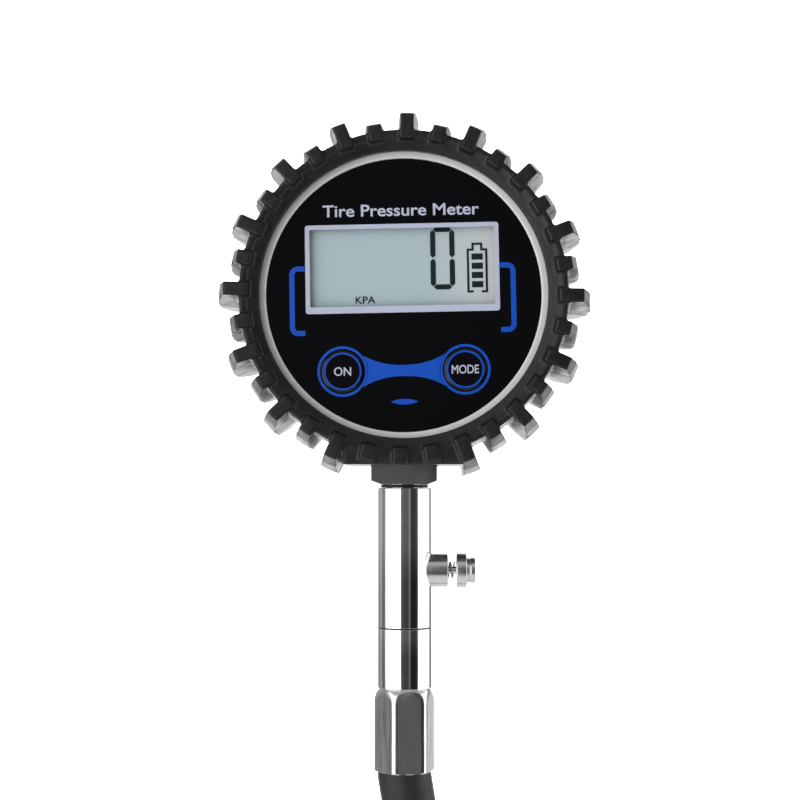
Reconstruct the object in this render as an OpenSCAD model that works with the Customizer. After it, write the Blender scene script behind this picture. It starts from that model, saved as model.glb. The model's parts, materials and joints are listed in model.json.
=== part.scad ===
// Digital tire pressure gauge. A round gauge head sits in a lugged rubber boot, and a chrome
// stem with an air-release button leads through a swivel to a short hose with a chuck.
// Millimetres. The head lies on its flat back: z = 0 is the back plane, +Z leaves the dial,
// and the stem leaves towards -Y.

/* [Boot] */
// Depth of the boot from back plane to lug faces
boot_d = 34; // [32:0.5:38]
// Radius over the big lugs at the front
lug_front_r = 39.6; // [38.5:0.1:41]
// Radius over the big lugs at mid depth
lug_crown_r = 42.4; // [41:0.1:45]
// Width of a lug at its front and back faces
lug_w = 3.0; // [2:0.1:4]
// Width of a lug at mid depth
lug_mid_w = 4.6; // [3:0.1:6]
// Turn of the lug pattern, clockwise
lug_turn = 1.3; // [0:0.1:3]
// Radius over the small lugs at the front
small_front_r = 37.6; // [37:0.1:39]
// Radius over the small lugs at mid depth
small_crown_r = 40.2; // [39.5:0.1:41]
// Big lug positions around the boot
lug_n = 16; // [12:1:20]
// Half width of the flat block around the neck
block_hw = 13.2; // [11:0.1:14]
// Distance from the centre to the flat of the block
block_y = 37.8; // [37:0.1:39]
// Inner radius of the front lip
lip_r = 32; // [31.5:0.1:32.5]

/* [Head] */
// Outer radius of the case halves
case_r = 34; // [33.5:0.1:34]
// Height of the face overlay's top
face_z = 28.9; // [28.5:0.1:29.2]
// Radius of the face overlay
face_r = 30.6; // [30:0.1:30.6]
// Width of the display window
win_w = 42; // [38:0.5:44]
// Height of the display window
win_h = 18.5; // [16:0.5:20]
// Display centre above the head centre
win_y = 6.4; // [5:0.1:8]
// Push button distance from the centre line
btn_x = 13.6; // [12:0.05:15]
// Push button distance below the centre
btn_y = 16.5; // [15:0.05:17]
// Push button radius
btn_r = 4.7; // [4:0.1:4.7]

// Turn of the display and buttons in the case, anticlockwise
dial_turn = 1.0; // [-2:0.1:2]
// Shift of the display and buttons to the right
dial_dx = -0.22; // [-0.5:0.01:0.5]
// Shift of the display and buttons upwards
dial_dy = -0.43; // [-0.5:0.01:0.5]

/* [Stem] */
// Radius of the chrome stem and swivel sleeve
stem_r = 6.3; // [5.5:0.1:6.5]
// Height of the stem axis above the back plane
stem_z = 17; // [16:0.5:18]
// Width of the neck collar
neck_w = 14.8; // [14:0.1:15]
// Distance from the centre to the air-release button
bleed_y = 61.6; // [58:0.1:64]
// Radius of the air-release boss
boss_r = 3.9; // [3.5:0.1:4.2]
// Height of the swivel seam along the stem
seam_y = -74.3; // [-76:0.1:-72]
// Hex ferrule width across flats
hex_af = 12.4; // [12:0.1:14]

/* [Hose] */
// Outer radius of the hose
hose_r = 6.1; // [5.5:0.1:6.2]
// Radius of the hose's open turn
turn_r = 50; // [50:1:60]
// Centre of the open turn, to the right
turn_x = 58; // [55:0.5:70]
// Centre of the open turn, below the head
turn_y = 188; // [180:1:210]
// Where the hose ends, below the head
end_y = -172; // [-180:1:-160]
// Radius of the chuck's valve socket
socket_r = 4.15; // [4:0.05:4.3]

/* [Hidden] */
$fn = 96;
case_screw_at = [[22.5, -18.5], [-22.5, -18.5], [0, 27.5]];
hose_z = 6.25;
chuck_x = turn_x + turn_r;
ferrule_end = -106.5;

// Cylinder along Y from y0 down to y1, on the stem axis
module cy(y0, y1, r, r2 = -1) translate([0, y0, stem_z]) rotate([90, 0, 0])
  cylinder(r1 = r, r2 = r2 < 0 ? r : r2, h = y0 - y1);
// Cylinder along X from x0 up to x1
module cx(x0, x1, r, y, z, r2 = -1) translate([x0, y, z]) rotate([0, 90, 0])
  cylinder(r1 = r, r2 = r2 < 0 ? r : r2, h = x1 - x0);
// Puts display and button pieces at their place in the case
module dial() translate([dial_dx, dial_dy, 0]) rotate([0, 0, dial_turn]) children();
// Box from corner a to corner b
module box(a, b) translate(a) cube(b - a);
// Lug-shaped prism at angle a from twelve o'clock, widest at mid depth
module lug(a) rotate([0, 0, a - lug_turn]) translate([0, 45, 0]) rotate([90, 0, 0])
  linear_extrude(height = 12) polygon([[-lug_w / 2, boot_d], [lug_w / 2, boot_d],
    [lug_mid_w / 2, boot_d / 2], [lug_w / 2, 0], [-lug_w / 2, 0], [-lug_mid_w / 2, boot_d / 2]]);

// Ring of points around a path point
function unit(v) = v / norm(v);
function ring_at(p, t, r, n) = let(s = unit(cross(t, [0.013, 0.007, 1])), u = cross(s, t))
  [for (k = [0 : n - 1]) p + r * (cos(360 * k / n) * s + sin(360 * k / n) * u)];
function tan_at(path, i) = unit(path[min(i + 1, len(path) - 1)] - path[max(i - 1, 0)]);
// Solid rod along a path
module rod(path, rs, n) {
  m = len(path);
  pts = [for (i = [0 : m - 1]) each ring_at(path[i], tan_at(path, i), rs[i], n)];
  sides = [for (i = [0 : m - 2], k = [0 : n - 1]) let(a = i * n + k, b = i * n + (k + 1) % n)
    each [[a, b, b + n], [a, b + n, a + n]]];
  polyhedron(points = pts, faces = concat(sides,
    [[for (k = [n - 1 : -1 : 0]) k]], [[for (k = [0 : n - 1]) (m - 1) * n + k]]), convexity = 12);
}
// Tube along a path, with a bore
module tube(path, rs, ri, n) {
  m = len(path);
  o = [for (i = [0 : m - 1]) each ring_at(path[i], tan_at(path, i), rs[i], n)];
  q = [for (i = [0 : m - 1]) each ring_at(path[i], tan_at(path, i), ri, n)];
  s = m * n;
  sides = [for (i = [0 : m - 2], k = [0 : n - 1]) let(a = i * n + k, b = i * n + (k + 1) % n)
    each [[a, b, b + n], [a, b + n, a + n], [s + a, s + b + n, s + b], [s + a, s + a + n, s + b + n]]];
  ends = [for (k = [0 : n - 1]) let(b = (k + 1) % n, z = (m - 1) * n)
    each [[k, s + k, s + b], [k, s + b, b], [z + k, z + b, s + z + b], [z + k, s + z + b, s + z + k]]];
  polyhedron(points = concat(o, q), faces = concat(sides, ends), convexity = 12);
}
function bez(p, t) = pow(1 - t, 3) * p[0] + 3 * t * pow(1 - t, 2) * p[1]
  + 3 * t * t * (1 - t) * p[2] + t * t * t * p[3];
drop = [[0, ferrule_end - 1.2, stem_z], [1.6, ferrule_end - 12, 16.6],
  [turn_x - turn_r, -turn_y + 34, hose_z], [turn_x - turn_r, -turn_y, hose_z]];
turn_n = 22;
hose_run = concat(
  [[0, -97, stem_z], [0, ferrule_end - 0.03, stem_z], [0, ferrule_end - 0.1, stem_z], drop[0]],
  [for (i = [1 : 12]) bez(drop, i / 12)],
  [for (i = [1 : turn_n]) let(a = 180 + 180 * i / turn_n)
    [turn_x + turn_r * cos(a), -turn_y + turn_r * sin(a), hose_z]],
  [[chuck_x, (end_y - turn_y) / 2, hose_z], [chuck_x, end_y - 0.1, hose_z],
    [chuck_x, end_y - 0.03, hose_z], [chuck_x, end_y + 9, hose_z]]);
squeeze = 5.1;
hose_rs = [for (i = [0 : len(hose_run) - 1])
  i < 2 || i > len(hose_run) - 3 ? squeeze : hose_r];
spring_path = [for (i = [0 : 72]) let(a = i * 30)
  [5.4 + 5.95 * i / 72, -bleed_y + 1.78 * cos(a), stem_z + 1.78 * sin(a)]];

// Lugs all round, at every whole (shift 0) or half (shift 0.5) lug position
module lugs(shift, front_r, crown_r, d) intersection() {
  rotate_extrude() polygon([[33.6, boot_d - 2.4], [34.3, boot_d - d], [front_r, boot_d - d],
    [front_r + 1.7, boot_d - 6], [crown_r, boot_d - 13], [crown_r, 13], [front_r + 1.7, 6],
    [front_r, d], [35, d], [35, 3], [34.2, 3], [34.2, 29]]);
  union() for (i = [0 : lug_n - 1]) lug((i + shift) * 360 / lug_n);
}
module rubber_boot() color([0.13, 0.13, 0.14]) difference() {
  union() {
    rotate_extrude() polygon([[0, 0], [35.2, 0], [36.2, 1.5], [36.8, 7], [36.9, 14.5], [36.9, 19.5], [36.8, 27],
      [36.3, 33], [34.8, 32.9], [34.7, 32.5], [lip_r, 31.8], [lip_r, 29.6], [34.05, 29.6],
      [34.05, 2], [0, 2]]);
    lugs(0, lug_front_r, lug_crown_r, 0);
    lugs(0.5, small_front_r, small_crown_r, 0.3);
    difference() {
      box([-block_hw, -block_y, 0], [block_hw, -30, 32.9]);
      translate([0, 0, -1]) cylinder(r = 34.8, h = boot_d + 2);
    }
  }
  box([-block_hw, -44, -1], [block_hw, -block_y, boot_d + 1]);
  box([-7.45, -45, 9.55], [7.45, -30, 24.45]);
}
module front_case() color([0.16, 0.16, 0.17]) difference() {
  union() {
    difference() {
      translate([0, 0, 15.5]) cylinder(r = case_r, h = 11.95);
      translate([0, 0, 15]) cylinder(r = 32.3, h = 10.8);
    }
    for (p = case_screw_at) translate([p[0], p[1], 15.5]) cylinder(r = 2.6, h = 11);
  }
  dial() {
    box([-23.3, win_y - 11.3, 20], [23.3, win_y + 11.3, 30]);
    for (s = [-1, 1]) translate([s * btn_x, -btn_y, 20]) cylinder(r = btn_r + 0.5, h = 10);
  }
  box([-7.45, -40, 14], [7.45, -30, 24.45]);
  for (p = case_screw_at) translate([p[0], p[1], 15]) cylinder(r = 1.2, h = 9.2);
}
module rear_case() color([0.16, 0.16, 0.17]) difference() {
  union() {
    difference() {
      translate([0, 0, 2.05]) cylinder(r = case_r, h = 13.4);
      translate([0, 0, 4]) cylinder(r = 32.3, h = 13);
    }
    for (p = case_screw_at) translate([p[0], p[1], 3]) cylinder(r = 2.9, h = 12.4);
    for (s = [-1, 1]) translate([s * 24.2 - 0.6, -11.8, 3]) cube([1.2, 23.6, 10]);
    translate([0, -14.2, 3]) cylinder(r = 2.4, h = 6);
  }
  box([-23.2, -11.6, 1], [23.2, 11.6, 4.5]);
  box([-4.2, -17.4, 1], [4.2, -11, 3.45]);
  box([-7.45, -40, 9.55], [7.45, -30, 17]);
  for (p = case_screw_at) translate([p[0], p[1], 1]) {
    cylinder(r = 1.3, h = 20);
    cylinder(r = 2.5, h = 3);
  }
  translate([0, -14.2, 1]) cylinder(r = 0.95, h = 20);
}
module bezel_ring() color([0.75, 0.75, 0.77]) rotate_extrude()
  polygon([[30.65, 27.5], [33.9, 27.5], [33.9, 29.2], [32.9, 29.5], [30.85, 29.5], [30.65, 29.3]]);
module face_overlay() color([0.03, 0.03, 0.04]) difference() {
  translate([0, 0, 27.5]) cylinder(r = face_r, h = face_z - 27.5);
  dial() {
    box([-win_w / 2, win_y - win_h / 2, 27], [win_w / 2, win_y + win_h / 2, 30]);
    for (s = [-1, 1]) translate([s * btn_x, -btn_y, 27]) cylinder(r = btn_r + 0.3, h = 3);
  }
}
module lcd_window() color([0.8, 0.9, 0.95, 0.3]) dial()
  box([-win_w / 2 + 0.05, win_y - win_h / 2 + 0.05, 27.55],
    [win_w / 2 - 0.05, win_y + win_h / 2 - 0.05, face_z - 0.05]);
module lcd_glass() color([0.66, 0.74, 0.77]) dial()
  box([-23, win_y - 11, 25.25], [23, win_y + 11, 27.45]);
module backlight_panel() color([0.9, 0.92, 0.95]) dial()
  box([-23, win_y - 7.6, 23.9], [23, win_y + 11, 25.2]);
module zebra_connector() color([0.85, 0.4, 0.5]) dial()
  box([-21, win_y - 10.8, 18.25], [21, win_y - 8, 25.2]);
module circuit_board() color([0.05, 0.35, 0.2]) difference() {
  translate([0, 0, 16.6]) cylinder(r = 31, h = 1.6);
  box([-9.4, -35, 16], [9.4, -13.5, 19]);
  for (p = case_screw_at) translate([p[0], p[1], 16]) cylinder(r = 2.9, h = 3);
}
module controller_chip() color([0.1, 0.1, 0.1])
  box([-5, 3, 18.25], [5, 13, 19.8]);
module tact_switches() color([0.3, 0.3, 0.32]) dial() for (s = [-1, 1])
  translate([s * btn_x, -btn_y, 0]) union() {
    box([-3, -3, 18.25], [3, 3, 21]);
    translate([0, 0, 20.5]) cylinder(r = 1.4, h = 1.1);
  }
module push_button() union() {
  translate([0, 0, 25.2]) cylinder(r = btn_r, h = face_z - 25.2);
  translate([0, 0, face_z]) cylinder(r1 = btn_r, r2 = btn_r - 0.45, h = 0.24);
  translate([0, 0, 24.3]) cylinder(r = 5.6, h = 1);
  translate([0, 0, 22.3]) cylinder(r = 1.4, h = 2.2);
}
module button_on() color([0.04, 0.04, 0.05]) dial() translate([-btn_x, -btn_y, 0]) push_button();
module button_mode() color([0.04, 0.04, 0.05]) dial() translate([btn_x, -btn_y, 0]) push_button();
module pressure_sensor() color([0.6, 0.6, 0.62]) union() {
  box([-6.5, -24, 12.5], [6.5, -14.5, 20]);
  translate([0, -19.2, 19]) cylinder(r = 3.6, h = 3);
}
module sensor_port() color([0.75, 0.6, 0.3]) difference() {
  cy(-24.05, -33, 1.9);
  cy(-24, -34, 0.9);
}
module port_oring() color([0.08, 0.08, 0.08]) difference() {
  cy(-24.2, -25.6, 3.2);
  cy(-24, -26, 1.95);
}
module battery_cells() color([0.75, 0.6, 0.25]) for (s = [-1, 1]) union() {
  cx(-21.7, 21.7, 5.2, s * 5.6, 10.05);
  cx(s > 0 ? 21 : -22.25, s > 0 ? 22.25 : -21, 1.9, s * 5.6, 10.05);
}
module battery_contacts() color([0.8, 0.8, 0.82]) for (s = [-1, 1]) union() {
  box([s > 0 ? 23.1 : -23.45, -10.4, 5], [s > 0 ? 23.45 : -23.1, 10.4, 13]);
  for (t = [-1, 1]) cx(s > 0 ? 22.3 : -23.2, s > 0 ? 23.2 : -22.3, 2.4, t * 5.6, 10.05);
}
module battery_door() color([0.18, 0.18, 0.19]) difference() {
  union() {
    box([-23, -11.4, 2.05], [23, 11.4, 3.95]);
    box([-4, -17.2, 2.05], [4, -11, 3.4]);
  }
  for (k = [-3 : 3]) box([-6, 4 + 1.6 * k - 0.4, 1], [6, 4 + 1.6 * k + 0.4, 2.55]);
  translate([0, -14.2, 1]) cylinder(r = 0.95, h = 4);
  translate([0, -14.2, 1]) cylinder(r = 2.1, h = 1.75);
}
module door_screw() color([0.6, 0.6, 0.62]) difference() {
  union() {
    translate([0, -14.2, 2.08]) cylinder(r = 2, h = 0.62);
    translate([0, -14.2, 2.6]) cylinder(r = 0.9, h = 6);
  }
  box([-1.4, -14.45, 2], [1.4, -13.95, 2.4]);
  box([-0.25, -15.6, 2], [0.25, -12.8, 2.4]);
}
module case_screws() color([0.6, 0.6, 0.62]) for (p = case_screw_at) translate([p[0], p[1], 0])
  difference() {
    union() {
      translate([0, 0, 2.5]) cylinder(r = 2.4, h = 1.48);
      translate([0, 0, 3.9]) cylinder(r = 1.15, h = 19);
    }
    box([-1.5, -0.3, 2], [1.5, 0.3, 3]);
    box([-0.3, -1.5, 2], [0.3, 1.5, 3]);
  }
module neck_collar() color([0.34, 0.34, 0.35]) difference() {
  union() {
    intersection() {
      box([-neck_w / 2, -42.1, stem_z - neck_w / 2], [neck_w / 2, -30, stem_z + neck_w / 2]);
      linear_extrude(height = 40) polygon([[-neck_w / 2, -29], [neck_w / 2, -29],
        [neck_w / 2, -41.3], [5.3, -42.1], [-5.3, -42.1], [-neck_w / 2, -41.3]]);
    }
    box([-9, -30.9, stem_z - 8.5], [9, -29.3, stem_z + 8.5]);
  }
  cy(-20, -45, 4.25);
}
module stem_nut() color([0.7, 0.7, 0.72]) difference() {
  translate([0, -26.3, stem_z]) rotate([90, 0, 0]) cylinder(r = 5.9, h = 2.95, $fn = 6);
  cy(-20, -45, 4.25);
}
module stem_gasket() color([0.05, 0.05, 0.05]) difference() {
  cy(-42.15, -42.85, 5.4);
  cy(-20, -45, 4.25);
}
module stem_body() color([0.85, 0.85, 0.87]) difference() {
  union() {
    cy(-26.4, -43.5, 4.2);
    cy(-42.9, seam_y, stem_r);
    cx(0, 9.9, boss_r, -bleed_y, stem_z);
    cx(5.2, 6.2, 4.4, -bleed_y, stem_z, boss_r);
  }
  cy(-26, -69, 1.95);
  cy(-26, -33.5, 1.97);
  cy(-69, -76, 3.95);
  cx(0, 5, 1.98, -bleed_y, stem_z);
  cx(4.9, 10, 2.35, -bleed_y, stem_z);
}
module bleed_guide() color([0.75, 0.6, 0.3]) difference() {
  cx(2.1, 4.85, 1.93, -bleed_y, stem_z);
  cx(0, 6, 0.96, -bleed_y, stem_z);
}
module bleed_spring() color([0.6, 0.6, 0.62]) rod(spring_path, [for (p = spring_path) 0.24], 6);
module bleed_seal() color([0.06, 0.06, 0.06]) difference() {
  cx(1, 1.75, 1.6, -bleed_y, stem_z);
  cx(0, 3, 0.92, -bleed_y, stem_z);
}
module bleed_pin() color([0.85, 0.85, 0.87]) union() {
  cx(0.9, 12, 0.89, -bleed_y, stem_z);
  cx(11.7, 14.15, 4, -bleed_y, stem_z);
}
module bleed_cap() color([0.85, 0.85, 0.87]) difference() {
  union() {
    cx(14.2, 15.9, 3, -bleed_y, stem_z);
    cx(15.8, 16.1, 2.7, -bleed_y, stem_z);
  }
  cx(15.7, 17, 2.3, -bleed_y, stem_z);
}
module swivel_post() color([0.7, 0.7, 0.72]) difference() {
  cy(-69.1, -86.2, 3.92);
  difference() { cy(-78, -79.4, 5); cy(-77, -80, 3); }
  difference() { cy(-84.85, -85.55, 5); cy(-84, -86, 3.2); }
  cy(-60, -90, 1.9);
}
module swivel_oring() color([0.06, 0.06, 0.06]) translate([0, -78.7, stem_z]) rotate([90, 0, 0])
  rotate_extrude() translate([3.5, 0]) circle(r = 0.45);
module swivel_clip() color([0.5, 0.5, 0.52]) difference() {
  cy(-84.95, -85.45, 4.65);
  cy(-84, -86, 3.25);
  box([-0.8, -86, stem_z + 1], [0.8, -84, stem_z + 6]);
}
module swivel_sleeve() color([0.85, 0.85, 0.87]) difference() {
  cy(seam_y - 0.3, -88, stem_r);
  cy(-74, -84.6, 4);
  cy(-84.5, -87, 5);
  cy(-86, -89, 2.55);
}
// Hex crimp ferrule along -Y from the origin
module ferrule_shape(len) difference() {
  intersection() {
    rotate([90, 0, 0]) cylinder(r = hex_af / sqrt(3), h = len, $fn = 6);
    rotate([90, 0, 0]) rotate_extrude() polygon([[0, 0], [6.2, 0], [6.75, 0.7], [7.2, 2.2],
      [7.2, len - 0.8], [6.7, len], [0, len]]);
  }
  rotate([90, 0, 0]) translate([0, 0, -1]) cylinder(r = 2.55, h = 5);
  rotate([90, 0, 0]) translate([0, 0, 2]) cylinder(r = squeeze + 0.05, h = len);
}
// Barbed nipple along -Y from the origin
module barb_shape() difference() {
  rotate([90, 0, 0]) union() {
    cylinder(r = 2.5, h = 16);
    for (k = [0 : 3]) translate([0, 0, 6 + 2.4 * k]) cylinder(r1 = 2.88, r2 = 2.5, h = 2);
  }
  rotate([90, 0, 0]) translate([0, 0, -1]) cylinder(r = 1.6, h = 20);
}
module hose_barb() color([0.75, 0.6, 0.3]) translate([0, -87.05, stem_z]) barb_shape();
module hex_ferrule() color([0.7, 0.7, 0.7]) translate([0, -88.05, stem_z]) rotate([0, 12, 0])
  ferrule_shape(-ferrule_end - 88.05);
module hose() color([0.1, 0.1, 0.11]) tube(hose_run, hose_rs, 3, 12);
// Chuck pieces run along +Y from the end of the hose
module cu(y0, y1, r, r2 = -1) translate([chuck_x, end_y + y0, hose_z]) rotate([-90, 0, 0])
  cylinder(r1 = r, r2 = r2 < 0 ? r : r2, h = y1 - y0);
module chuck_ferrule() color([0.7, 0.7, 0.7]) translate([chuck_x, end_y + 18.4, hose_z])
  ferrule_shape(18.4);
module chuck_barb() color([0.75, 0.6, 0.3]) translate([chuck_x, end_y + 19.4, hose_z])
  barb_shape();
module chuck_body() color([0.8, 0.65, 0.35]) difference() {
  union() {
    cu(18.45, 25, 5.2);
    translate([chuck_x, end_y + 23, hose_z]) rotate([-90, 0, 0]) cylinder(r = 6.6, h = 7, $fn = 6);
    cu(29, 34, 4.5);
  }
  cu(18, 24, 2.55);
  cu(23, 40, 1.8);
}
module chuck_barrel() color([0.82, 0.68, 0.38]) difference() {
  union() {
    cu(30.05, 48, 6.2);
    cu(48, 50, 6.2, 5.4);
  }
  cu(42.6, 52, socket_r);
  cu(41, 42.7, 4.65);
  cu(36, 42, 3);
  cu(29, 37, 4.55);
}
module chuck_seal() color([0.06, 0.06, 0.06]) difference() {
  cu(41.05, 42.55, 4.6);
  cu(40, 50, 1.7);
}
module chuck_pin() color([0.75, 0.75, 0.77]) union() {
  cu(33, 42.3, 0.8);
  cu(34.05, 36, 2.9);
}

rubber_boot();
front_case();
rear_case();
bezel_ring();
face_overlay();
lcd_window();
lcd_glass();
backlight_panel();
zebra_connector();
circuit_board();
controller_chip();
tact_switches();
button_on();
button_mode();
pressure_sensor();
sensor_port();
port_oring();
battery_cells();
battery_contacts();
battery_door();
door_screw();
case_screws();
neck_collar();
stem_nut();
stem_gasket();
stem_body();
bleed_guide();
bleed_spring();
bleed_seal();
bleed_pin();
bleed_cap();
swivel_post();
swivel_oring();
swivel_clip();
swivel_sleeve();
hose_barb();
hex_ferrule();
hose();
chuck_ferrule();
chuck_barb();
chuck_body();
chuck_barrel();
chuck_seal();
chuck_pin();
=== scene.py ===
"""Tire pressure gauge: materials, printed dial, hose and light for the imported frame."""
import json
import math

import bpy
from mathutils import Matrix, Vector


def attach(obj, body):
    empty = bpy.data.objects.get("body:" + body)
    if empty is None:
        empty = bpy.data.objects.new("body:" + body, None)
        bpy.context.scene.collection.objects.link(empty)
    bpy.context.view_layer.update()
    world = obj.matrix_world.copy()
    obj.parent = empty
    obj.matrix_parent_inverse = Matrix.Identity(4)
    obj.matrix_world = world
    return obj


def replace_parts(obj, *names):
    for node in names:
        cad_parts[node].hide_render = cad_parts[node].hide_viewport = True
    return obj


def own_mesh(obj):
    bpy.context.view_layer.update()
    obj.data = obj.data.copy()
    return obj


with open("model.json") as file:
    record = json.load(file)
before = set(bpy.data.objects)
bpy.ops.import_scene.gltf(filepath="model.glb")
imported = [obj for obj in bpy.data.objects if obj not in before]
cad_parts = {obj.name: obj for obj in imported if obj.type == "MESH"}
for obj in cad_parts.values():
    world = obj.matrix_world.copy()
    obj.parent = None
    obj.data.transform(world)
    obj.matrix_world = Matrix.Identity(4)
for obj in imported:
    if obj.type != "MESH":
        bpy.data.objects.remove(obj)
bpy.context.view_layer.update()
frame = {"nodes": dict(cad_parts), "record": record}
MM = 0.001

# Heights and sizes of the dial, in millimetres
FACE_Z = 28.9
INK_Z = FACE_Z + 0.03
SEGMENT_Z = 27.5
CAP_Z = FACE_Z + 0.24 + 0.03
WINDOW_CENTRE = 6.4
BUTTON_X = 13.6
BUTTON_Y = -16.5
STEM_R = 6.3
DIAL = Matrix.Translation((-0.22 * MM, -0.43 * MM, 0)) @ Matrix.Rotation(math.radians(1.0), 4, "Z")

# Hose route: it drops from the ferrule to the surface and lies in one open turn
HOSE_R = 6.1
STEM_Z = 17
FERRULE_END = -106.5
HOSE_Z = 6.25
TURN_R = 50
TURN_X = 58
TURN_Y = -188
HOSE_END = -172


# ---------------------------------------------------------------- camera and hose
def add_camera(place, target, lens):
    """A camera at place that looks at target with +Y up in the picture."""
    cam = bpy.data.objects.new("camera", bpy.data.cameras.new("camera"))
    bpy.context.collection.objects.link(cam)
    back = (Vector(place) - Vector(target)).normalized()
    right = Vector((0, 1, 0)).cross(back).normalized()
    up = back.cross(right)
    cam.matrix_world = Matrix.Translation(place) @ Matrix((right, up, back)).transposed().to_4x4()
    cam.data.lens = lens
    cam.data.sensor_width = 36
    cam.data.clip_start = 0.01
    cam.data.clip_end = 10
    bpy.context.scene.camera = cam


def bezier(p, t):
    u = 1 - t
    return p[0] * u ** 3 + p[1] * 3 * t * u * u + p[2] * 3 * t * t * u + p[3] * t ** 3


def hose_route():
    drop = [
        Vector((0, FERRULE_END - 1.2, STEM_Z)),
        Vector((1.6, FERRULE_END - 12, 16.6)),
        Vector((TURN_X - TURN_R, TURN_Y + 34, HOSE_Z)),
        Vector((TURN_X - TURN_R, TURN_Y, HOSE_Z)),
    ]
    route = [Vector((0, FERRULE_END, STEM_Z))] + [bezier(drop, i / 12) for i in range(13)]
    for i in range(1, 23):
        a = math.radians(180 + 180 * i / 22)
        route.append(Vector((TURN_X + TURN_R * math.cos(a), TURN_Y + TURN_R * math.sin(a), HOSE_Z)))
    route.append(Vector((TURN_X + TURN_R, (HOSE_END + TURN_Y) / 2, HOSE_Z)))
    route.append(Vector((TURN_X + TURN_R, HOSE_END, HOSE_Z)))
    return [p * MM for p in route]


def mesh_of(name, data):
    """The mesh that curve or text data makes."""
    draft = bpy.data.objects.new(name + "_draft", data)
    bpy.context.collection.objects.link(draft)
    bpy.context.view_layer.update()
    mesh = bpy.data.meshes.new_from_object(draft.evaluated_get(bpy.context.evaluated_depsgraph_get()))
    bpy.data.objects.remove(draft)
    return mesh


def curve_tube(name, points, radius, sides=6):
    """A round tube along points, as a mesh."""
    data = bpy.data.curves.new(name, "CURVE")
    data.dimensions = "3D"
    data.bevel_depth = radius
    data.bevel_resolution = sides
    data.use_fill_caps = True
    spline = data.splines.new("POLY")
    spline.points.add(len(points) - 1)
    for place, p in zip(spline.points, points):
        place.co = (*p, 1)
    spline.use_smooth = True
    obj = bpy.data.objects.new(name, mesh_of(name, data))
    bpy.context.collection.objects.link(obj)
    return obj


add_camera((0.0056, -0.0437, 0.347), (-0.0008, -0.0235, 0.029), 64.8)

ROUTE = hose_route()
hose = curve_tube("hose_skin", ROUTE, HOSE_R * MM, 12)
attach(hose, "hose_end")
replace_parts(hose, "hose")


# ---------------------------------------------------------------- materials
class Surface:
    """A principled material with its nodes at hand."""

    def __init__(self, name, colour, rough, metal=0.0, **sockets):
        self.mat = bpy.data.materials.new(name)
        self.mat.use_nodes = True
        self.tree = self.mat.node_tree
        self.shader = self.tree.nodes["Principled BSDF"]
        self.colour = colour
        self.shader.inputs["Base Color"].default_value = (*colour, 1)
        self.shader.inputs["Roughness"].default_value = rough
        self.shader.inputs["Metallic"].default_value = metal
        for socket, value in sockets.items():
            self.shader.inputs[socket.replace("_", " ")].default_value = value
        self.coords = self.tree.nodes.new("ShaderNodeTexCoord")

    def stretch(self, scale):
        mapping = self.tree.nodes.new("ShaderNodeMapping")
        mapping.inputs["Scale"].default_value = scale
        self.tree.links.new(self.coords.outputs["Object"], mapping.inputs["Vector"])
        return mapping.outputs["Vector"]

    def noise(self, size, detail=3.0, stretch=(1, 1, 1), rough=0.5):
        """Noise whose features are size metres wide."""
        node = self.tree.nodes.new("ShaderNodeTexNoise")
        node.inputs["Scale"].default_value = 1 / size
        node.inputs["Detail"].default_value = detail
        node.inputs["Roughness"].default_value = rough
        self.tree.links.new(self.stretch(stretch), node.inputs["Vector"])
        return node.outputs["Fac"]

    def spread(self, value, low, high, out_low, out_high):
        node = self.tree.nodes.new("ShaderNodeMapRange")
        for socket, number in zip(("From Min", "From Max", "To Min", "To Max"),
                                  (low, high, out_low, out_high)):
            node.inputs[socket].default_value = number
        self.tree.links.new(value, node.inputs["Value"])
        return node.outputs["Result"]

    def tint(self, value, other, low=0.35, high=0.65):
        """The base colour goes to other where value is high."""
        mix = self.tree.nodes.new("ShaderNodeMix")
        mix.data_type = "RGBA"
        mix.inputs["A"].default_value = (*self.colour, 1)
        mix.inputs["B"].default_value = (*other, 1)
        self.tree.links.new(self.spread(value, low, high, 0, 1), mix.inputs["Factor"])
        self.tree.links.new(mix.outputs["Result"], self.shader.inputs["Base Color"])
        return self

    def gloss(self, value, low, high):
        self.tree.links.new(self.spread(value, 0.3, 0.7, low, high), self.shader.inputs["Roughness"])
        return self

    def relief(self, value, height, strength=1.0):
        """Bump whose full height is in metres."""
        node = self.tree.nodes.new("ShaderNodeBump")
        node.inputs["Distance"].default_value = height
        node.inputs["Strength"].default_value = strength
        self.tree.links.new(value, node.inputs["Height"])
        if self.shader.inputs["Normal"].links:
            self.tree.links.new(self.shader.inputs["Normal"].links[0].from_socket, node.inputs["Normal"])
        self.tree.links.new(node.outputs["Normal"], self.shader.inputs["Normal"])
        return self


def boot_rubber():
    s = Surface("boot_rubber", (0.0085, 0.0085, 0.009), 0.4, IOR=1.43)
    s.tint(s.noise(0.006, 5), (0.014, 0.014, 0.0148))
    s.gloss(s.noise(0.003, 6), 0.34, 0.5)
    s.relief(s.noise(0.0003, 4), 0.00002)
    return s.relief(s.noise(0.003, 2), 0.00006).mat


def hose_rubber():
    s = Surface("hose_rubber", (0.019, 0.019, 0.0205), 0.5, IOR=1.42)
    s.tint(s.noise(0.01, 5), (0.026, 0.026, 0.0275))
    s.gloss(s.noise(0.003, 5), 0.42, 0.58)
    return s.relief(s.noise(0.0004, 4), 0.00002).mat


def case_plastic():
    s = Surface("case_plastic", (0.03, 0.03, 0.033), 0.5)
    s.tint(s.noise(0.005, 4), (0.038, 0.038, 0.04))
    return s.relief(s.noise(0.0003, 3), 0.000015).mat


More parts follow.
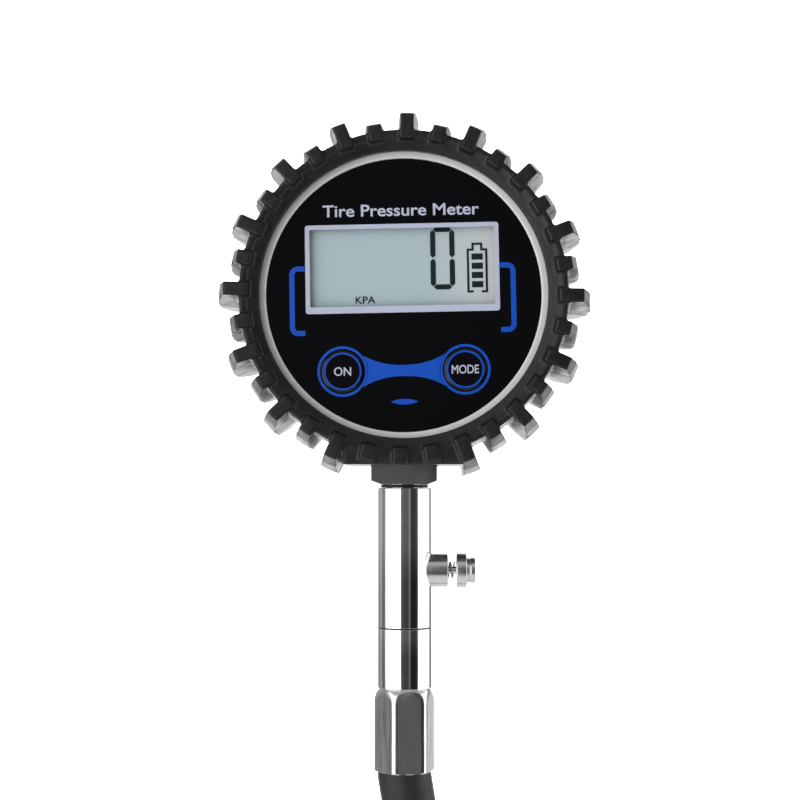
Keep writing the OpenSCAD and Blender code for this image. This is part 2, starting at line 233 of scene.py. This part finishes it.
def neck_plastic():
    s = Surface("neck_plastic", (0.075, 0.075, 0.078), 0.5)
    s.tint(s.noise(0.003, 5), (0.095, 0.095, 0.1))
    s.gloss(s.noise(0.002, 5), 0.42, 0.58)
    return s.relief(s.noise(0.0003, 3), 0.00002).mat


def chrome():
    s = Surface("stem_chrome", (0.86, 0.865, 0.875), 0.07, 1.0)
    s.gloss(s.noise(0.004, 5), 0.045, 0.11)
    return s.relief(s.noise(0.0012, 2, (1, 0.15, 1)), 0.000003).mat


def satin_chrome():
    s = Surface("satin_chrome", (0.8, 0.8, 0.81), 0.24, 1.0)
    s.gloss(s.noise(0.0012, 4, (0.2, 1, 1)), 0.18, 0.32)
    return s.relief(s.noise(0.0003, 3, (0.15, 1, 1)), 0.000006).mat


def satin_steel():
    s = Surface("ferrule_satin", (0.74, 0.74, 0.75), 0.2, 1.0)
    s.tint(s.noise(0.002, 5, (1, 0.2, 1)), (0.8, 0.8, 0.81))
    s.gloss(s.noise(0.0009, 4, (1, 0.1, 1)), 0.16, 0.26)
    return s.relief(s.noise(0.00025, 3, (1, 0.08, 1)), 0.000005).mat


def bezel_silver():
    s = Surface("bezel_silver", (0.84, 0.84, 0.86), 0.42, 0.1)
    s.tint(s.noise(0.02, 3), (0.9, 0.9, 0.92))
    s.gloss(s.noise(0.003, 4), 0.36, 0.48)
    return s.relief(s.noise(0.0002, 2), 0.000004).mat


def face_gloss():
    s = Surface("face_gloss", (0.0012, 0.0014, 0.003), 0.08, Specular_IOR_Level=0.36)
    s.gloss(s.noise(0.01, 4), 0.05, 0.12)
    return s.relief(s.noise(0.006, 1), 0.00001).mat


def window_clear():
    return Surface("window_clear", (0, 0, 0), 0.04, Alpha=0.05).mat


def lcd_grey():
    s = Surface("lcd_grey", (0.66, 0.83, 0.89), 0.35)
    split = s.tree.nodes.new("ShaderNodeSeparateXYZ")
    s.tree.links.new(s.coords.outputs["Object"], split.inputs[0])
    # painted highlight: the display colour lightens towards its right end (+X object coordinate), standing
    # in for light falling across it from that side
    s.tint(split.outputs["X"], (0.94, 0.97, 0.99), 0.006, 0.02)
    return s.relief(s.noise(0.0003, 1), 0.000003).mat


def ink(name, colour, rough=0.35):
    s = Surface(name, colour, rough)
    s.tint(s.noise(0.003, 3), tuple(min(1, c * 1.06) for c in colour))
    return s.relief(s.noise(0.0003, 2), 0.000004).mat


def brass():
    s = Surface("brass_fitting", (0.72, 0.55, 0.27), 0.26, 1.0)
    s.tint(s.noise(0.003, 6), (0.62, 0.45, 0.2))
    s.gloss(s.noise(0.002, 5), 0.2, 0.36)
    return s.relief(s.noise(0.0004, 3), 0.000006).mat


def knurled_brass():
    s = Surface("knurled_brass", (0.72, 0.55, 0.27), 0.28, 1.0)
    s.tint(s.noise(0.003, 6), (0.6, 0.44, 0.2))
    s.gloss(s.noise(0.002, 5), 0.22, 0.38)
    return s.relief(s.noise(0.0004, 3), 0.00001).mat


def steel(name, shade):
    s = Surface(name, (shade, shade, shade * 1.02), 0.3, 1.0)
    s.gloss(s.noise(0.002, 4), 0.22, 0.38)
    return s.relief(s.noise(0.0004, 3), 0.000005).mat


def plain(name, colour, rough):
    s = Surface(name, colour, rough)
    s.tint(s.noise(0.004, 4), tuple(c * 0.85 for c in colour))
    s.gloss(s.noise(0.003, 4), rough * 0.85, min(1, rough * 1.2))
    return s.relief(s.noise(0.0004, 3), 0.00001).mat


MATS = {
    "boot_rubber": boot_rubber(),
    "case_plastic": case_plastic(),
    "bezel_silver": bezel_silver(),
    "face_gloss": face_gloss(),
    "window_clear": window_clear(),
    "lcd_grey": lcd_grey(),
    "backlight_white": plain("backlight_white", (0.8, 0.82, 0.85), 0.4),
    "zebra_rubber": plain("zebra_rubber", (0.6, 0.2, 0.3), 0.6),
    "board_green": plain("board_green", (0.02, 0.16, 0.07), 0.35),
    "chip_black": plain("chip_black", (0.03, 0.03, 0.03), 0.5),
    "switch_metal": steel("switch_metal", 0.6),
    "seal_rubber": plain("seal_rubber", (0.02, 0.02, 0.02), 0.5),
    "cell_metal": plain("cell_metal", (0.45, 0.33, 0.12), 0.35),
    "screw_steel": steel("screw_steel", 0.6),
    "neck_plastic": neck_plastic(),
    "stem_chrome": chrome(),
    "brass_fitting": brass(),
    "spring_steel": steel("spring_steel", 0.5),
    "ferrule_satin": satin_steel(),
    "hose_rubber": hose_rubber(),
    "satin_chrome": satin_chrome(),
    "ink_lavender": ink("ink_lavender", (0.6, 0.64, 0.8)),
    "ink_blue": ink("ink_blue", (0.001, 0.092, 0.62)),
    "ink_segment": ink("ink_segment", (0.001, 0.01, 0.014), 0.5),
}

slot_of = {s["node"]: s["material_slot"] for s in frame["record"]["subparts"]}
for node, obj in frame["nodes"].items():
    mat = MATS[slot_of[node]]
    if not obj.material_slots:
        obj.data.materials.append(mat)
    for holder in obj.material_slots:
        holder.material = mat
hose.data.materials.append(MATS["hose_rubber"])


# ---------------------------------------------------------------- edges of the CAD pieces
def soften(node, width, angle=35, segments=3):
    """Rounds a CAD piece's hard edges with modifiers, width in millimetres."""
    obj = frame["nodes"][node]
    for face in obj.data.polygons:
        face.use_smooth = True
    weld = obj.modifiers.new("weld", "WELD")
    weld.merge_threshold = 0.000002
    bevel = obj.modifiers.new("edge", "BEVEL")
    bevel.width = width * MM
    bevel.segments = segments
    bevel.limit_method = "ANGLE"
    bevel.angle_limit = math.radians(angle)
    bevel.harden_normals = True
    bevel.use_clamp_overlap = True


def mould(node, voxel, passes):
    """Rebuilds a CAD piece's surface as moulded rubber with rounded edges."""
    obj = frame["nodes"][node]
    remesh = obj.modifiers.new("skin", "REMESH")
    remesh.mode = "VOXEL"
    remesh.voxel_size = voxel * MM
    remesh.use_smooth_shade = True
    relax = obj.modifiers.new("relax", "SMOOTH")
    relax.factor = 0.5
    relax.iterations = passes


mould("rubber_boot", 0.3, 3)
soften("neck_collar", 0.3)
soften("stem_gasket", 0.1)
soften("bezel_ring", 0.1)
for name in ("chuck_body", "chuck_seal", "chuck_pin"):
    soften(name, 0.2)


# ---------------------------------------------------------------- turned metal parts
def round_corners(profile, steps=5):
    """Profile points are (along, radius, corner); each corner is rounded to that size."""
    points = []
    for i, (x, r, corner) in enumerate(profile):
        here = Vector((x, r))
        if corner == 0:
            points.append(here)
            continue
        before = (Vector(profile[i - 1][:2]) - here).normalized() * corner
        after = (Vector(profile[i + 1][:2]) - here).normalized() * corner
        for k in range(steps + 1):
            t = k / steps
            points.append(here + before * (1 - t) ** 2 + after * t ** 2)
    return points


def mesh_piece(name, verts, faces, mat, body, smooth=40):
    mesh = bpy.data.meshes.new(name)
    mesh.from_pydata([Vector(v) * MM for v in verts], [], faces)
    mesh.materials.append(mat)
    mesh.polygons.foreach_set("use_smooth", [True] * len(mesh.polygons))
    mesh.update()
    mesh.set_sharp_from_angle(angle=math.radians(smooth))
    obj = bpy.data.objects.new(name, mesh)
    bpy.context.collection.objects.link(obj)
    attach(obj, body)
    return obj


def loft(name, rings, mat, body):
    """A closed skin over rings of equal point counts, with flat ends."""
    n = len(rings[0])
    verts = [p for ring in rings for p in ring]
    faces = []
    for i in range(len(rings) - 1):
        for k in range(n):
            a, b = i * n + k, i * n + (k + 1) % n
            faces.append((a, a + n, b + n, b))
    faces.append(tuple(range(n)))
    faces.append(tuple(range(len(verts) - 1, len(verts) - n - 1, -1)))
    return mesh_piece(name, verts, faces, mat, body)


def turned(name, profile, place, mat, body, n=128):
    """A turned part. place maps (along, across, up) to a point of the row frame."""
    rings = []
    for x, r in round_corners(profile):
        rings.append([place(x, r * math.cos(math.tau * k / n), r * math.sin(math.tau * k / n))
                      for k in range(n)])
    return loft(name, rings, mat, body)


def on_stem(along, across, up):
    return (across, -along, STEM_Z + up)


def on_bleed(along, across, up):
    return (along, -61.6 + across, STEM_Z + up)


SEAM = 74.3
tube_skin = turned("stem_tube", [(26.4, 0.01, 0), (26.4, 4.2, 0), (42.9, 4.2, 0), (42.9, STEM_R, 0.25),
                                 (SEAM, STEM_R, 0.08), (SEAM, 0.01, 0)],
                   on_stem, MATS["stem_chrome"], "gauge")
boss_skin = turned("bleed_boss", [(3.5, 0.01, 0), (3.5, 3.9, 0), (9.9, 3.9, 0.3),
                                  (9.9, 2.35, 0.1), (8.6, 2.35, 0), (8.6, 0.01, 0)],
                   on_bleed, MATS["satin_chrome"], "gauge")
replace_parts(tube_skin, "stem_body")
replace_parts(boss_skin, "stem_body")
sleeve_skin = turned("swivel_skin", [(SEAM + 0.3, 0.01, 0), (SEAM + 0.3, STEM_R, 0.08), (88, STEM_R, 0.3),
                                     (88, 0.01, 0)],
                     on_stem, MATS["stem_chrome"], "hose_end")
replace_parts(sleeve_skin, "swivel_sleeve")
turned("swivel_dust_seal", [(SEAM + 0.03, 0.01, 0), (SEAM + 0.03, STEM_R - 0.15, 0),
                            (SEAM + 0.27, STEM_R - 0.15, 0), (SEAM + 0.27, 0.01, 0)],
       on_stem, MATS["seal_rubber"], "gauge")
flange_skin = turned("bleed_flange", [(0.9, 0.01, 0), (0.9, 0.89, 0), (11.7, 0.89, 0), (11.7, 4.0, 0.3),
                                      (14.15, 4.0, 0.3), (14.15, 0.01, 0)],
                     on_bleed, MATS["satin_chrome"], "bleed_button")
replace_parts(flange_skin, "bleed_pin")
cap_skin = turned("bleed_knob", [(14.2, 0.01, 0), (14.2, 2.85, 0.1), (14.9, 2.85, 0.15), (15.1, 3.0, 0.1),
                                 (16.1, 3.0, 0.25), (16.1, 2.4, 0.15), (15.75, 2.3, 0.1), (15.75, 0.01, 0)],
                  on_bleed, MATS["satin_chrome"], "bleed_button")
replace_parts(cap_skin, "bleed_cap")


def crimp(name, start, length, place, body, turn):
    """A hex ferrule whose corners and shoulders are rounded."""
    n = 180
    rings = []
    levels = [0, 0.02, 0.1, 0.25, 0.5, 0.8, 1.2, 1.6, 2.1, 2.6, 3.2, 4, 6, 9, 12, 15]
    levels = [v for v in levels if v < length - 1.2] + [length - 0.9, length - 0.5, length - 0.2,
                                                        length - 0.06, length]
    for y in levels:
        rise = min(1, y / 3.2)
        shoulder = 5.95 + 1.6 * rise ** 0.75
        fall = min(1, (length - y) / 0.7)
        shoulder = min(shoulder, 6.45 + 1.15 * math.sqrt(1 - (1 - fall) ** 2))
        ring = []
        for k in range(n):
            a = math.tau * k / n
            off = (a - turn + math.pi / 6) % (math.pi / 3) - math.pi / 6
            flat = 6.2 / math.cos(off)
            r = smooth_min(smooth_min(flat, 6.98, 0.3), shoulder, 0.55)
            ring.append(place(start + y, r * math.sin(a), r * math.cos(a)))
        rings.append(ring)
    return loft(name, rings, MATS["ferrule_satin"], body)


def smooth_min(a, b, k):
    h = max(k - abs(a - b), 0) / k
    return min(a, b) - h * h * k / 4


def on_chuck(along, across, up):
    return (TURN_X + TURN_R - across, HOSE_END + 18.4 - along, HOSE_Z + up)


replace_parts(crimp("hex_skin", 88.05, -FERRULE_END - 88.05, on_stem, "hose_end", math.radians(12)),
            "hex_ferrule")
chuck_crimp = crimp("chuck_hex_skin", 0, 18.4, on_chuck, "hose_end", 0)
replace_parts(chuck_crimp, "chuck_ferrule")


def knurled(name, y0, y1, r, flutes=36, n=360):
    """A brass sleeve with fine straight knurls between plain ends."""
    rings = []
    inner = 4.15
    levels = [(y0, inner), (y0, r - 0.3), (y0 + 0.3, r), (y0 + 2, r), (y0 + 2.2, -r), (y1 - 4.2, -r),
              (y1 - 4, r), (y1 - 2, r), (y1, r - 0.8), (y1, inner + 0.2), (y1 - 0.2, inner),
              (y1 - 7.4, inner)]
    for y, level in levels:
        ring = []
        for k in range(n):
            a = math.tau * k / n
            cut = 0.28 * abs(math.sin(flutes * a / 2)) if level < 0 else 0
            ring.append((TURN_X + TURN_R - (abs(level) - cut) * math.sin(a), HOSE_END + y,
                         HOSE_Z + (abs(level) - cut) * math.cos(a)))
        rings.append(ring)
    verts = [p for ring in rings for p in ring]
    faces = [(i * n + k, i * n + (k + 1) % n, (i + 1) * n + (k + 1) % n, (i + 1) * n + k)
             for i in range(len(rings) - 1) for k in range(n)]
    return mesh_piece(name, verts, faces, MATS["brass_fitting"], "hose_end", 30)


barrel_skin = knurled("chuck_grip", 30.05, 50, 6.2)
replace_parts(barrel_skin, "chuck_barrel")


# ---------------------------------------------------------------- printed dial
def flat_piece(name, loops, z, slot, body="gauge", thick=0.05):
    """A thin printed shape from closed loops of points in millimetres; inner loops are holes."""
    data = bpy.data.curves.new(name, "CURVE")
    data.dimensions = "2D"
    data.fill_mode = "BOTH"
    data.extrude = thick * MM / 2
    for loop in loops:
        spline = data.splines.new("POLY")
        spline.points.add(len(loop) - 1)
        spline.use_cyclic_u = True
        for place, (x, y) in zip(spline.points, loop):
            place.co = (x * MM, y * MM, 0, 1)
    return printed(name, mesh_of(name, data), Matrix.Translation((0, 0, z * MM)), slot, body)


def printed(name, mesh, place, slot, body):
    """A printed piece: its mesh is put in place on the turned dial."""
    mesh.transform(DIAL @ place)
    mesh.materials.clear()
    mesh.materials.append(MATS[slot])
    obj = bpy.data.objects.new(name, mesh)
    bpy.context.collection.objects.link(obj)
    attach(obj, body)
    return obj


def arc(cx, cy, r, start, end, steps=64):
    turn = [math.radians(start + (end - start) * i / steps) for i in range(steps + 1)]
    return [(cx + r * math.cos(a), cy + r * math.sin(a)) for a in turn]


def circle(cx, cy, r):
    return arc(cx, cy, r, 0, 360, 96)[:-1]


def rounded(x0, y0, x1, y1, r):
    """A rectangle with round corners, from its lower left to its upper right."""
    return (arc(x1 - r, y1 - r, r, 0, 90, 8) + arc(x0 + r, y1 - r, r, 90, 180, 8)
            + arc(x0 + r, y0 + r, r, 180, 270, 8) + arc(x1 - r, y0 + r, r, 270, 360, 8))


def lettering(name, words, centre, width, height, z, slot, body="gauge", bold=0.0):
    """Words set to a width and a height, in millimetres."""
    data = bpy.data.curves.new(name, "FONT")
    data.body = words
    data.size = 1
    data.resolution_u = 6
    data.offset = bold
    data.extrude = 0.01
    mesh = mesh_of(name, data)
    xs = [v.co.x for v in mesh.vertices]
    ys = [v.co.y for v in mesh.vertices]
    size = Matrix.Diagonal((width * MM / (max(xs) - min(xs)), height * MM / (max(ys) - min(ys)),
                            0.0025, 1))
    middle = Matrix.Translation((-(max(xs) + min(xs)) / 2, -(max(ys) + min(ys)) / 2, 0))
    place = Matrix.Translation((centre[0] * MM, centre[1] * MM, z * MM))
    return printed(name, mesh, place @ size @ middle, slot, body)


def bracket(side):
    """The blue bar beside the display, which turns in above and below it."""
    outer = arc(23.3, 5.3, 1.9, 90, 0, 10) + arc(23.3, -6.5, 1.9, 0, -90, 10)
    inner = arc(23.3, -6.5, 0.75, -90, 0, 10) + arc(23.3, 5.3, 0.75, 0, 90, 10)
    loop = [(21.75, 7.2)] + outer + [(21.75, -8.4), (21.75, -7.25)] + inner + [(21.75, 6.05)]
    return [(side * x, y) for x, y in loop]


def bow_tie():
    """The blue link between the two button rings."""
    reach = 45
    ring = 5.5
    end_x = BUTTON_X - ring * math.cos(math.radians(reach))
    end_h = ring * math.sin(math.radians(reach))
    top = []
    for i in range(-16, 17):
        t = i / 16
        top.append((t * end_x, BUTTON_Y + 1.25 + (end_h - 1.25) * abs(t) ** 2.3))
    right = arc(BUTTON_X, BUTTON_Y, ring, 180 - reach, 180 + reach, 16)
    bottom = [(x, 2 * BUTTON_Y - y) for x, y in reversed(top)]
    left = arc(-BUTTON_X, BUTTON_Y, ring, -reach, reach, 16)
    return top + right + bottom + left


def segment(x0, y0, x1, y1, t):
    """One display segment between two corners, with pointed ends."""
    length = math.hypot(x1 - x0, y1 - y0)
    ux, uy = (x1 - x0) / length, (y1 - y0) / length
    h = t / 2
    gap = 0.1
    along = [(gap, 0), (gap + h, h), (length - gap - h, h), (length - gap, 0),
             (length - gap - h, -h), (gap + h, -h)]
    return [(x0 + a * ux - b * uy, y0 + a * uy + b * ux) for a, b in along]


def digit_zero(cx, cy, w, h, t):
    l, r = cx - w / 2 + t / 2, cx + w / 2 - t / 2
    b, u = cy - h / 2 + t / 2, cy + h / 2 - t / 2
    corners = [(l, b), (l, cy), (l, u), (r, u), (r, cy), (r, b), (l, b)]
    return [segment(*p, *q, t) for p, q in zip(corners, corners[1:])]


def battery_icon(x0, y0, w, h, t):
    """A battery outline open at the foot, with its bars, as separate loops."""
    x1, y1 = x0 + w, y0 + h
    cap = 1.2
    mid = (x0 + x1) / 2
    shell = [(mid - 0.9, y0), (x0, y0), (x0, y1), (mid - cap, y1), (mid - cap, y1 + 1.3),
             (mid + cap, y1 + 1.3), (mid + cap, y1), (x1, y1), (x1, y0), (mid + 0.9, y0),
             (mid + 0.9, y0 + t), (x1 - t, y0 + t), (x1 - t, y1 - t), (mid + cap - t, y1 - t),
             (mid + cap - t, y1 + 1.3 - t), (mid - cap + t, y1 + 1.3 - t), (mid - cap + t, y1 - t),
             (x0 + t, y1 - t), (x0 + t, y0 + t), (mid - 0.9, y0 + t)]
    bars = []
    for i in range(4):
        y = y0 + 1.15 + i * 2.08
        bars.append([(mid - 1.25, y), (mid + 1.25, y), (mid + 1.25, y + 1.39), (mid - 1.25, y + 1.39)])
    return [shell] + bars


flat_piece("display_frame", [
    rounded(-21.6, WINDOW_CENTRE - 9.95, 21.6, WINDOW_CENTRE + 9.95, 0.65),
    rounded(-20.6, WINDOW_CENTRE - 8.45, 20.6, WINDOW_CENTRE + 8.95, 0.3)], INK_Z, "ink_lavender")
flat_piece("bracket_left", [bracket(-1)], INK_Z, "ink_blue")
flat_piece("bracket_right", [bracket(1)], INK_Z, "ink_blue")
flat_piece("button_link", [bow_tie()], INK_Z, "ink_blue")
LENS_Y = -23.45
LENS_R = 7.7
LENS_DROP = LENS_R - 0.64
lens = (arc(0, LENS_Y - LENS_DROP, LENS_R, 113.5, 66.5, 20)
        + arc(0, LENS_Y + LENS_DROP, LENS_R, -66.5, -113.5, 20)[1:-1])
flat_piece("blue_lens", [lens], INK_Z, "ink_blue")
for side, body, label in ((-1, "on_button", "ON"), (1, "mode_button", "MODE")):
    x = side * BUTTON_X
    tag = body.split("_")[0]
    flat_piece(tag + "_outer_ring", [circle(x, BUTTON_Y, 5.62), circle(x, BUTTON_Y, 5.02)],
               INK_Z, "ink_blue")
    flat_piece(tag + "_inner_ring", [circle(x, BUTTON_Y, 4.2), circle(x, BUTTON_Y, 3.8)],
               CAP_Z, "ink_blue", body)
    lettering(tag + "_label", label, (x, BUTTON_Y), 3.8 if side < 0 else 6.0, 1.95, CAP_Z,
              "ink_lavender", body, 0.012)
lettering("title", "Tire Pressure Meter", (-0.1, 19.45), 34.9, 2.7, INK_Z, "ink_lavender", bold=0.014)
for i, loop in enumerate(digit_zero(9.05, 8.65, 5.43, 14.1, 1.15)):
    flat_piece(f"digit_segment_{i + 1}", [loop], SEGMENT_Z, "ink_segment")
for i, loop in enumerate(battery_icon(14.47, 0.77, 4.6, 9.9, 0.48)):
    flat_piece(f"battery_icon_{i}", [loop], SEGMENT_Z, "ink_segment")
lettering("unit_text", "KPA", (-8.35, -0.43), 4.4, 1.6, SEGMENT_Z, "ink_segment", bold=0.01)


# ---------------------------------------------------------------- air-release spring
def helix(x0, x1, y, z, r, turns, steps=24):
    points = []
    for i in range(turns * steps + 1):
        a = math.tau * i / steps
        points.append(Vector((x0 + (x1 - x0) * i / (turns * steps), y + r * math.cos(a),
                              z + r * math.sin(a))) * MM)
    return points


spring = curve_tube("bleed_spring_coil", helix(5.4, 11.4, -61.6, STEM_Z, 1.78, 6), 0.24 * MM, 3)
spring.data.materials.clear()
spring.data.materials.append(MATS["spring_steel"])
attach(spring, "gauge")
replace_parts(spring, "bleed_spring")
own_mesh(spring)


# ---------------------------------------------------------------- light
PEAK = 5


def add_world(stops):
    """A studio round the part: brightness by the angle about +Y, from -180 at the table, through
    0 overhead, to 180. Its two ends, far along Y, are grey, and it darkens a little towards -Y."""
    world = bpy.data.worlds.new("studio")
    world.use_nodes = True
    bpy.context.scene.world = world
    tree = world.node_tree

    def sums(operation, *values):
        node = tree.nodes.new("ShaderNodeMath")
        node.operation = operation
        for socket, value in zip(node.inputs, values):
            if isinstance(value, (int, float)):
                socket.default_value = value
            else:
                tree.links.new(value, socket)
        return node.outputs[0]

    def spread(value, low, high, out_low, out_high):
        node = tree.nodes.new("ShaderNodeMapRange")
        for socket, number in zip(("From Min", "From Max", "To Min", "To Max"),
                                  (low, high, out_low, out_high)):
            node.inputs[socket].default_value = number
        tree.links.new(value, node.inputs["Value"])
        return node.outputs["Result"]

    coords = tree.nodes.new("ShaderNodeTexCoord")
    split = tree.nodes.new("ShaderNodeSeparateXYZ")
    tree.links.new(coords.outputs["Generated"], split.inputs[0])
    x, y, z = split.outputs
    ramp = tree.nodes.new("ShaderNodeValToRGB")
    turn = spread(sums("ARCTAN2", x, z), -math.pi, math.pi, 0, 1)
    tree.links.new(turn, ramp.inputs["Fac"])
    marks = ramp.color_ramp.elements
    while len(marks) > 1:
        marks.remove(marks[-1])
    for i, (degrees, level) in enumerate(stops):
        place = (degrees + 180) / 360
        mark = marks[0] if i == 0 else marks.new(place)
        mark.position = place
        mark.color = (level / PEAK, level / PEAK, level / PEAK, 1)
    level = sums("POWER", sums("MULTIPLY", ramp.outputs["Color"], PEAK), spread(y, -0.1, -0.02, 1.35, 1))
    ends = spread(sums("ABSOLUTE", y), 0.42, 0.62, 0, 1)
    lift = sums("MULTIPLY", ends, sums("SUBTRACT", spread(y, -1, 1, 0.75, 0.4), level))
    tree.links.new(sums("ADD", level, lift), tree.nodes["Background"].inputs["Strength"])
    tree.nodes["Background"].inputs["Color"].default_value = (1, 1, 1, 1)


add_world([
    (-180, 2.3), (-154, 2.2), (-147, 1.0), (-139, 0.5), (-129, 0.27), (-120, 0.5), (-110, 0.4),
    (-97, 0.2), (-90, 0.22), (-85, 1.0), (-78, 1.8), (-17, 1.7), (-13, 0.14), (10, 0.1),
    (17, 0.12), (22, 0.3), (26, 0.1), (30, 0.035), (50, 0.05), (57, 0.12), (62, 1.6),
    (112, 1.7), (124, 1.0), (132, 0.2), (141, 0.12), (147, 1.0), (154, 2.2), (180, 2.3)])

scene = bpy.context.scene
scene.view_settings.view_transform = "Standard"

bpy.context.view_layer.update()
